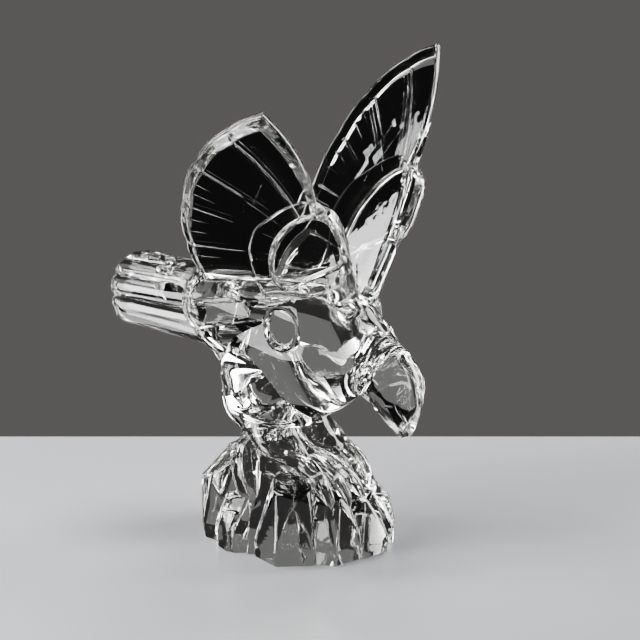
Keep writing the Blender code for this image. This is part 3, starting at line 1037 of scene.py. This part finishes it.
def cast_in_one(name, forms, cuts, materials):
    """All forms joined into one closed mesh, the cuts taken out, and its sharp edges kept sharp."""
    whole = forms[0]
    for material in materials:
        whole.data.materials.append(material)
    rest = bpy.data.collections.new("forms to join")
    bpy.context.scene.collection.children.link(rest)
    for form in forms[1:]:
        rest.objects.link(form)
    away = bpy.data.collections.new("forms to cut")
    bpy.context.scene.collection.children.link(away)
    for cut in cuts:
        away.objects.link(cut)
    for label, operation, group in (("join", "UNION", rest), ("cut", "DIFFERENCE", away)):
        step = whole.modifiers.new(label, "BOOLEAN")
        step.operation = operation
        step.operand_type = "COLLECTION"
        step.collection = group
        step.solver = "EXACT"
    graph = bpy.context.evaluated_depsgraph_get()
    mesh = bpy.data.meshes.new_from_object(whole.evaluated_get(graph))
    for helper in list(forms) + list(cuts):
        bpy.data.objects.remove(helper)
    for group in (rest, away):
        bpy.data.collections.remove(group)
    bm = bmesh.new()
    bm.from_mesh(mesh)
    bmesh.ops.dissolve_degenerate(bm, dist=1e-6, edges=bm.edges)
    bmesh.ops.triangulate(bm, faces=bm.faces)
    bmesh.ops.holes_fill(bm, edges=[e for e in bm.edges if len(e.link_faces) == 1], sides=0)
    bmesh.ops.triangulate(bm, faces=bm.faces)
    same = {}
    for face in bm.faces:
        same.setdefault(frozenset(face.verts), []).append(face)
    doubled = [face for faces in same.values() if len(faces) > 1 for face in faces]
    bmesh.ops.delete(bm, geom=doubled, context="FACES")
    for edge in bm.edges:
        edge.smooth = len(edge.link_faces) == 2 and edge.calc_face_angle(math.pi) < SHARP_EDGE
    for face in bm.faces:
        face.smooth = True
    open_edges = sum(1 for e in bm.edges if len(e.link_faces) != 2)
    print("glass:", len(bm.faces), "triangles, open edges", open_edges, "volume", bm.calc_volume() * 1e6)
    bm.to_mesh(mesh)
    bm.free()
    mesh.name = name
    piece = bpy.data.objects.new(name, mesh)
    bpy.context.scene.collection.objects.link(piece)
    return piece


def beside_camera(right, behind, up):
    """A place right of, behind and above the eagle's foot, as the camera sees it."""
    turn = CAMERA_BEARING
    across = Vector((math.cos(turn), math.sin(turn), 0))
    away = Vector((-math.sin(turn), math.cos(turn), 0))
    return across * right + away * behind + Vector((0, 0, up))


def rectangle(name, corners, material):
    """One plain rectangle of the studio, through places beside the eagle."""
    bm = bmesh.new()
    bm.faces.new([bm.verts.new(beside_camera(*corner)) for corner in corners])
    bmesh.ops.recalc_face_normals(bm, faces=bm.faces)
    mesh = bpy.data.meshes.new(name)
    bm.to_mesh(mesh)
    bm.free()
    mesh.materials.append(material)
    obj = bpy.data.objects.new(name, mesh)
    bpy.context.scene.collection.objects.link(obj)
    return obj


def matt(name, colour, roughness, shine):
    """A plain matt material whose roughness wavers a little."""
    material = bpy.data.materials.new(name)
    material.use_nodes = True
    nodes, links = material.node_tree.nodes, material.node_tree.links
    shader = nodes["Principled BSDF"]
    shader.inputs["Base Color"].default_value = colour
    shader.inputs["Specular IOR Level"].default_value = shine
    place = nodes.new("ShaderNodeTexCoord")
    grain = nodes.new("ShaderNodeTexNoise")
    grain.inputs["Scale"].default_value = GRAIN_SCALE
    rough = nodes.new("ShaderNodeMapRange")
    rough.inputs["To Min"].default_value = roughness - GRAIN_STRENGTH
    rough.inputs["To Max"].default_value = roughness + GRAIN_STRENGTH
    links.new(place.outputs["Object"], grain.inputs["Vector"])
    links.new(grain.outputs["Fac"], rough.inputs["Value"])
    links.new(rough.outputs["Result"], shader.inputs["Roughness"])
    return material


def table():
    """A plain pale table top, which ends a little behind the eagle as the camera sees it.

    The glass stands on it, but neither mirrors it nor shows it.
    """
    half_width, half_depth, height = TABLE_TOP
    signs = ((-1, -1), (1, -1), (1, 1), (-1, 1))
    corners = [(x * half_width, y * half_depth, height) for x, y in signs]
    top = rectangle("table_top", corners, matt("pale table", (0.4, 0.404, 0.416, 1), 0.35, 0.5))
    top.visible_transmission = False
    top.visible_glossy = False


def painted_shade_card():
    """The near-black card behind the wings, which only the glass shows: painted shade that darkens the
    wings seen through the glass.
    """
    right, behind, up, width, height = PAINTED_SHADE_CARD
    corners = [
        (right + x * width / 2, behind, up + z * height / 2)
        for x, z in ((-1, -1), (1, -1), (1, 1), (-1, 1))
    ]
    # Its near-black colour is painted shade in the wings, not a lamp or a real part of the studio
    card = rectangle("painted_shade_card", corners, matt("painted shade card", (0.004, 0.004, 0.004, 1), 0.9, 0))
    card.visible_camera = False
    card.visible_diffuse = False
    card.visible_shadow = False


def softbox(name, place, width, height, power):
    """A rectangular light that faces the eagle. The camera sees it only in the glass and on the table."""
    light = bpy.data.lights.new(name, "AREA")
    light.shape = "RECTANGLE"
    light.size, light.size_y = width, height
    light.energy = power
    obj = bpy.data.objects.new(name, light)
    obj.location = beside_camera(*place)
    obj.rotation_euler = (LIGHT_AIM - obj.location).to_track_quat("-Z", "Y").to_euler()
    obj.visible_camera = False
    bpy.context.scene.collection.objects.link(obj)


def studio():
    """The softboxes, and a plain grey room that is dimmer in the glass than behind it."""
    for row in SOFTBOXES:
        softbox(*row)
    world = bpy.data.worlds.new("plain studio")
    bpy.context.scene.world = world
    world.use_nodes = True
    nodes, links = world.node_tree.nodes, world.node_tree.links
    room = nodes["Background"]
    room.inputs["Color"].default_value = (*ROOM_IN_GLASS, 1)
    backdrop = nodes.new("ShaderNodeBackground")
    backdrop.inputs["Color"].default_value = (*BACKDROP, 1)
    path = nodes.new("ShaderNodeLightPath")
    choice = nodes.new("ShaderNodeMixShader")
    links.new(path.outputs["Is Camera Ray"], choice.inputs["Fac"])
    links.new(room.outputs["Background"], choice.inputs[1])
    links.new(backdrop.outputs["Background"], choice.inputs[2])
    links.new(choice.outputs["Shader"], nodes["World Output"].inputs["Surface"])


def camera():
    """The camera, where the photograph was taken from."""
    bearing, rise = CAMERA_BEARING, CAMERA_RISE
    level = math.cos(rise)
    view = Vector((math.sin(bearing) * level, -math.cos(bearing) * level, math.sin(rise)))
    lens = bpy.data.cameras.new("camera")
    lens.sensor_width = SENSOR
    lens.lens = SENSOR * (CAMERA_REACH / METRES_PER_PIXEL) / FRAME_PIXELS
    lens.clip_start = NEAREST_SEEN
    obj = bpy.data.objects.new("camera", lens)
    obj.location = CAMERA_AIM + view * CAMERA_REACH
    obj.rotation_euler = (-view).to_track_quat("-Z", "Y").to_euler()
    bpy.context.scene.collection.objects.link(obj)
    bpy.context.scene.camera = obj


def render_settings():
    """Enough bounces for light to cross the glass many times, and a crisp view of it."""
    scene = bpy.context.scene
    scene.cycles.max_bounces = BOUNCES
    scene.cycles.transmission_bounces = BOUNCES
    scene.cycles.glossy_bounces = GLOSSY_BOUNCES
    scene.cycles.use_denoising = True
    scene.cycles.sample_clamp_indirect = BRIGHTEST_BOUNCE
    scene.view_settings.view_transform = "Filmic"
    scene.view_settings.look = "High Contrast"


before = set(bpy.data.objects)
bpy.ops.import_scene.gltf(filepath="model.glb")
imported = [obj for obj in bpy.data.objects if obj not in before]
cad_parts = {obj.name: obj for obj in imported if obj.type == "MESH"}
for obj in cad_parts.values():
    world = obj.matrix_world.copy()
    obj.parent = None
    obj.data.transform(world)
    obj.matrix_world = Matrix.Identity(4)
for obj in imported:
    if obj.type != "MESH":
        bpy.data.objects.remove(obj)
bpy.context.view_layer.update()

glass = crystal("clear crystal", *POLISHED)
etched = crystal("etched crystal", *ETCHED)
tree = bead_tree(glass)
forms = [body(), tail(), mound()]
cuts = [saw(), stroke_rows(stroke_tree(etched), (glass, etched))]
for side in (1, -1):
    eyeball, eye_ring = eye(side)
    forms += [
        blade("upper_blade", side, UPPER_LINES, 0),
        blade("lower_blade", side, LOWER_LINES, LOWER_BLADE_LIFT),
        arm(side),
        shoulder(side),
        leg(side, "shin", SHIN_STATIONS),
        leg(side, "thigh", THIGH_STATIONS),
        leg(side, "cuff", CUFF_STATIONS),
        lobe(side, "tuft", TUFT_STATIONS),
        lobe(side, "back_toe", BACK_TOE_STATIONS),
        eyeball,
    ]
    forms += pads(side)
    raised = feather_lines(side, UPPER_LINES, 0, 1, UPPER_OUTSIDE)
    raised += feather_lines(side, UPPER_LINES, 0, -1, UPPER_INSIDE)
    raised += feather_lines(side, LOWER_LINES, LOWER_BLADE_LIFT, 1, LOWER_OUTSIDE)
    raised += feather_lines(side, LOWER_LINES, LOWER_BLADE_LIFT, -1, LOWER_INSIDE)
    raised += wing_lines(side, OUTER_FOLDS) + wing_lines(side, INNER_ARC)
    raised += body_lines(side, NECK_FOLDS + BROW + CERE + JAW) + [eye_ring]
    forms.append(beads("beads", raised, tree))
    cuts.append(beads("mouth", body_lines(side, MOUTH), tree))
    forms += [toe(side, *row) for row in TOES[side]]
forms += [boulder(*row) for row in BOULDERS + CHIPS]
eagle = cast_in_one("glass_eagle", forms, cuts, (glass, etched))
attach(eagle, "root")
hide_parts("crystal_eagle")

table()
painted_shade_card()
studio()
camera()
render_settings()
